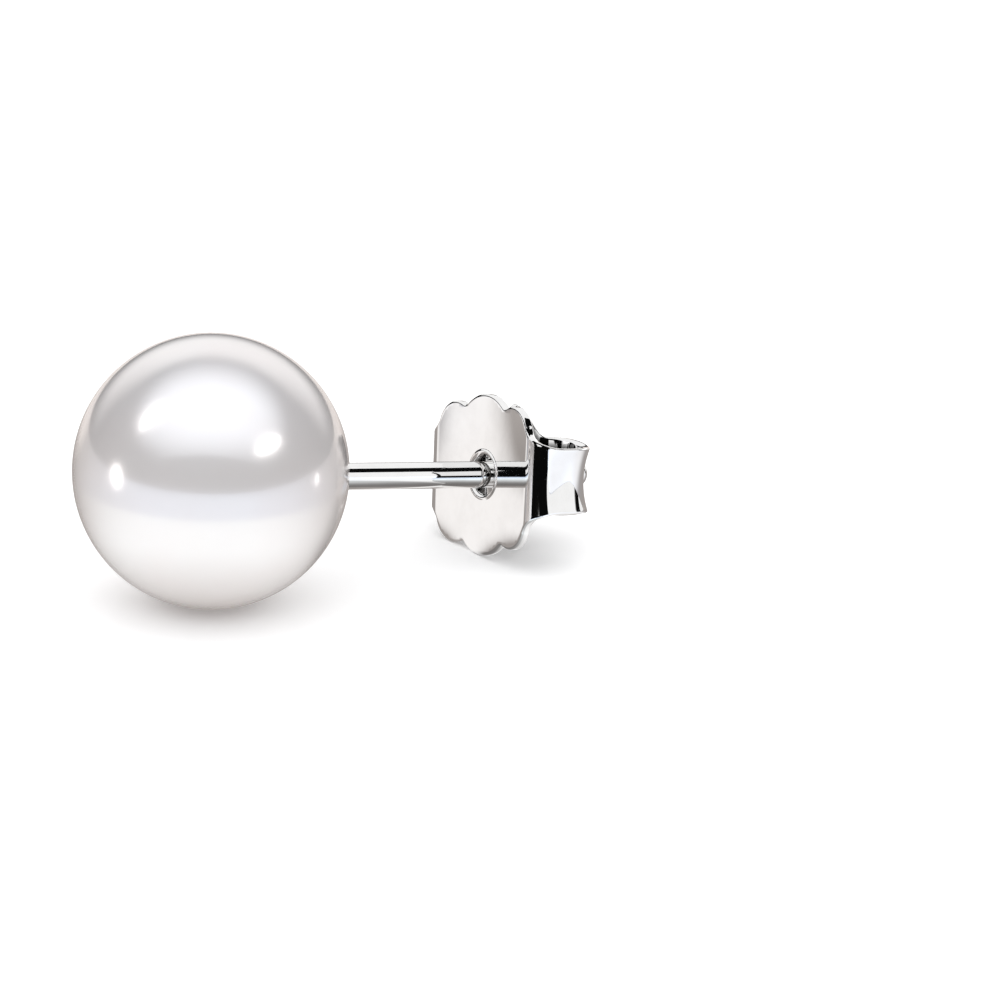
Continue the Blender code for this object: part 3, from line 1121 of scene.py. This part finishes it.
@dataclass(frozen=True)
class Studio:
    """The pale floor and the soft lights round it. Distances in metres.

    The pearl's lights hang square to the camera, and the metal's stand square to the post.
    """

    camera_azimuth: float = -34.5  # degrees
    view_back: Vector = Vector((0.0, -0.947, 0.321))  # the way to the camera, in camera axes
    floor_size: float = 0.8
    floor_colour: tuple[float, float, float] = (0.96, 0.96, 0.965)
    floor_roughness: float = 0.9
    floor_glow: float = 0.16
    reach: float = 0.35
    darkness: float = 0.003
    fans_middle: Vector = Vector((0.0049, 0.0, 0.00003))  # just over the floor
    fans_size: float = 0.4
    fans: tuple[Fan, ...] = (
        Fan(Vector((7.6, -3.9)), 128.0, 0.0, 5.4, 5.0, 0.66),
        Fan(Vector((4.9, 0.0)), -54.0, 20.0, 45.0, 0.0, 0.52),
    )
    floor_wash: Panel = Panel("floor_wash", Z_AXIS * 1.3, Z_AXIS, Y_AXIS, (5.0, 5.0), 1.45)
    backdrop: Panel = Panel(
        "backdrop", Vector((0, 1, 0.9)), Y_AXIS, Z_AXIS, (4.0, 1.8), 1.05, (0.42, 0.42, 0.25, 0.5)
    )
    fill: Panel = Panel(
        "fill", Vector((0, -0.8, 1)), Vector((0, -0.6, 0.8)), Vector((0, 0.8, 0.6)), (3.0, 3.0), 0.34
    )
    metal_panels: tuple[Panel, ...] = (
        Panel("panel_by_tip", Vector((1.24, -1, 0.285)), -Y_AXIS, Z_AXIS, (1.32, 0.99), 1.0, (0, 0.3, 0, 0)),
        Panel(
            "panel_by_pearl",
            Vector((-1.24, -1, 0.365)),
            -Y_AXIS,
            Z_AXIS,
            (1.32, 0.83),
            1.0,
            (0.3, 0, 0.06, 0),
        ),
        Panel("canopy", Vector((0, 0.92, 1)), Z_AXIS, Y_AXIS, (5.0, 2.36), 1.0),
        Panel("panel_past_tip", Vector((1, 0.34, 0.3)), X_AXIS, Z_AXIS, (1.12, 0.7), 0.95, (0, 0, 0, 0.2)),
    )
    lamps: tuple[Lamp, ...] = (
        Lamp("lamp_high_left", Vector((-0.684, -0.150, 0.690)), 25.0, 14.0, -8.0, 0.35, 2.6),
        Lamp("lamp_high_right", Vector((0.752, -0.416, 0.511)), 28.0, 13.0, 84.0, 0.35, 2.6),
        Lamp("lamp_low_left", Vector((-0.985, -0.169, -0.031)), 18.0, 15.0, -26.0, 0.022, 2.6),
        Lamp("lamp_low_right", Vector((0.977, 0.184, -0.106)), 8.0, 6.0, 26.0, 0.022, 2.4),
    )

    def camera_axes(self) -> Matrix:
        """Returns the level axes that face the camera's way: its right, behind the earring and up."""
        return Matrix.Rotation(math.radians(self.camera_azimuth), 3, "Z")

    def floor(self) -> bpy.types.Object:
        """Returns the floor."""
        bm = bmesh.new()
        bmesh.ops.create_grid(bm, x_segments=1, y_segments=1, size=self.floor_size / 2)
        floor = make_object("studio_floor", bm, Matrix.Identity(4))
        material, shader, pen = new_material("pale_floor")
        pen.fill(
            shader,
            Base_Color=(*self.floor_colour, 1.0),
            Roughness=self.floor_roughness,
            Specular_IOR_Level=0.0,
            Emission_Color=(1.0, 1.0, 1.0, 1.0),
            Emission_Strength=self.floor_glow,
        )
        # Glossy rays see a painted reflection, the floor look glowing, and the camera and other rays see the
        # plain floor.
        painted_reflection = pen.add("Emission", Color=FloorLook().pattern(pen))
        mix = pen.add("MixShader", Fac=pen.add("LightPath").outputs["Is Glossy Ray"])
        pen.feed(mix.inputs[1], shader.outputs[0])
        pen.feed(mix.inputs[2], painted_reflection.outputs[0])
        pen.feed(material.node_tree.nodes["Material Output"].inputs["Surface"], mix.outputs[0])
        floor.data.materials.append(material)
        return floor

    def world(self) -> None:
        """Makes the dark room round the lights, which the camera sees as white."""
        world = bpy.data.worlds.new("studio_surroundings")
        world.use_nodes = True
        pen = NodeSketch(world.node_tree)
        seen = pen.add("LightPath").outputs["Is Camera Ray"]
        background = world.node_tree.nodes["Background"]
        pen.feed(background.inputs["Strength"], pen.math("MAXIMUM", seen, self.darkness))
        background.inputs["Color"].default_value = (1.0, 1.0, 1.0, 1.0)
        bpy.context.scene.world = world

    def hang(
        self,
        name: str,
        place: Vector,
        axes: tuple[Vector, Vector],
        size: tuple[float, float],
        strength: float,
        lit: bpy.types.Collection,
    ) -> bpy.types.Object:
        """Hangs a flat light that faces the earring.

        Args:
            name: The light's name.
            place: Its middle.
            axes: The direction square to it, away from the earring, and the direction of its height.
            size: Its width and height.
            strength: How bright its surface looks.
            lit: What it shines on.

        Returns:
            The light.
        """
        data = bpy.data.lights.new(name, "AREA")
        data.shape = "RECTANGLE"
        data.size, data.size_y = size
        data.energy = strength * math.pi * size[0] * size[1]
        light = bpy.data.objects.new(name, data)
        away, up = axes
        turn = Matrix((up.cross(away).normalized(), up.normalized(), away.normalized())).transposed()
        light.matrix_world = Matrix.Translation(place) @ turn.to_4x4()
        light.visible_camera = False
        light.light_linking.receiver_collection = lit
        bpy.context.scene.collection.objects.link(light)
        return light

    def hang_panel(self, panel: Panel, axes: Matrix, lit: bpy.types.Collection) -> bpy.types.Object:
        """Hangs a soft panel, with faded edges where it has them.

        Args:
            panel: The panel.
            axes: The axes that its place is given in.
            lit: What it shines on.

        Returns:
            The light.
        """
        size = (panel.size[0] * self.reach, panel.size[1] * self.reach)
        place = axes @ panel.centre * self.reach
        light = self.hang(panel.name, place, (axes @ panel.away, axes @ panel.up), size, panel.strength, lit)
        pen = NodeSketch.of_light(light)
        along = pen.on_light()
        left, right, bottom, top = panel.fades
        edges = (("X", 0.0, left), ("X", 1.0, 1 - right), ("Y", 0.0, bottom), ("Y", 1.0, 1 - top))
        masks = [pen.step(along[axis], edge, full) for axis, edge, full in edges if edge != full]
        pen.emit(pen.times(1.0, *masks))
        return light

    def hang_soft_light(self, lit: bpy.types.Collection) -> None:
        """Hangs the large soft light over the earring.

        Args:
            lit: What it shines on.
        """
        soft, axes = SoftLight(), self.camera_axes()
        middle = axes @ Vector((0, -soft.middle, 1)) * self.reach
        size = (2 * self.reach * soft.half[0], 2 * self.reach * soft.half[1])
        light = self.hang("soft_light_overhead", middle, (axes.col[2], axes.col[1]), size, 1.0, lit)
        light.data.color = soft.tint
        pen = NodeSketch.of_light(light)
        pen.emit(soft.pattern(pen))

    def hang_lamps(self, lit: bpy.types.Collection) -> None:
        """Hangs the small lamps whose glints show on the pearl.

        Args:
            lit: What they shine on.
        """
        axes = self.camera_axes()
        radius = PearlBead().radius * MM
        pearl = FloorLook().pearl_foot.to_3d() * MM + Z_AXIS * radius
        for lamp in self.lamps:
            away = (axes @ lamp.towards).normalized()
            upright = (Z_AXIS - away * away.z).normalized()
            up = Matrix.Rotation(-math.radians(lamp.turn), 3, away) @ upright
            size = tuple(2 * lamp.reach * math.tan(math.radians(a / 2)) for a in (lamp.width, lamp.length))
            glint = pearl + radius * (away + axes @ self.view_back).normalized()
            light = self.hang(lamp.name, glint + away * lamp.reach, (away, up), size, lamp.strength, lit)
            light.data.shape = "ELLIPSE"
            light.data.energy *= math.pi / 4

    def lay_fans(self, lit: bpy.types.Collection) -> None:
        """Lays fans of light on the floor, which the plate and the ear mirror.

        Args:
            lit: What they shine on.
        """
        size = (self.fans_size, self.fans_size)
        light = self.hang("light_pools", self.fans_middle, (-Z_AXIS, Y_AXIS), size, 1.0, lit)
        pen = NodeSketch.of_light(light)
        place = pen.scaled(pen.add("NewGeometry").outputs["Position"], 1 / MM)
        pen.emit(pen.total(*[fan.pattern(pen, place) for fan in self.fans]))

    def light_up(self, bead: bpy.types.Object, metal: list[bpy.types.Object], rest: RestFrame) -> None:
        """Sets the floor and every light.

        Args:
            bead: The pearl.
            metal: The metal pieces.
            rest: The earring's frame at rest.
        """
        floor = self.floor()
        self.world()
        on_pearl, on_metal = collect("lit_like_pearl", [bead]), collect("lit_like_metal", metal)
        camera_axes, post_axes = self.camera_axes(), rest.axes()
        self.hang_panel(self.floor_wash, camera_axes, collect("lit_like_floor", [floor]))
        self.hang_soft_light(on_pearl)
        self.hang_lamps(on_pearl)
        self.hang_panel(self.backdrop, camera_axes, on_pearl)
        for panel in self.metal_panels:
            self.hang_panel(panel, post_axes, on_metal)
        self.lay_fans(on_metal)
        self.hang_panel(self.fill, camera_axes, on_pearl).visible_glossy = False


def collect(name: str, pieces: list[bpy.types.Object]) -> bpy.types.Collection:
    """Puts pieces in a collection that lights can be linked to.

    Args:
        name: The collection's name.
        pieces: What it holds.

    Returns:
        The collection, which isn't in the scene itself.
    """
    collection = bpy.data.collections.new(name)
    for piece in pieces:
        collection.objects.link(piece)
    return collection


def main() -> None:
    """Builds the earring, the studio and the camera, in that order."""
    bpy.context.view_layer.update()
    pearl = PearlBead()
    post = EarPost(pearl)
    butterfly = ButterflyBack(post)
    rest = RestFrame.from_record(frame["record"], Vector((post.cup_back, 0.0, MOUNT_RISE)))
    to_world = rest.to_world()
    life = surface_life()
    nacre = NacreFinish().material(life)
    metal = PolishedMetalFinish().material(life)
    bead, wire, nut = pearl.build(to_world), post.build(to_world), butterfly.build(to_world)
    settle(bead, "pearl", Body.STUD, nacre)
    settle(wire, "ear_post", Body.STUD, metal)
    settle(nut, "butterfly_back", Body.NUT, metal)
    Studio().light_up(bead, [wire, nut], rest)
    StudioCamera().place(to_world)
    bpy.context.scene.view_settings.view_transform = "Standard"


if __name__ == "__main__":
    logging.basicConfig(level=logging.INFO, format="%(name)s: %(message)s")
    main()
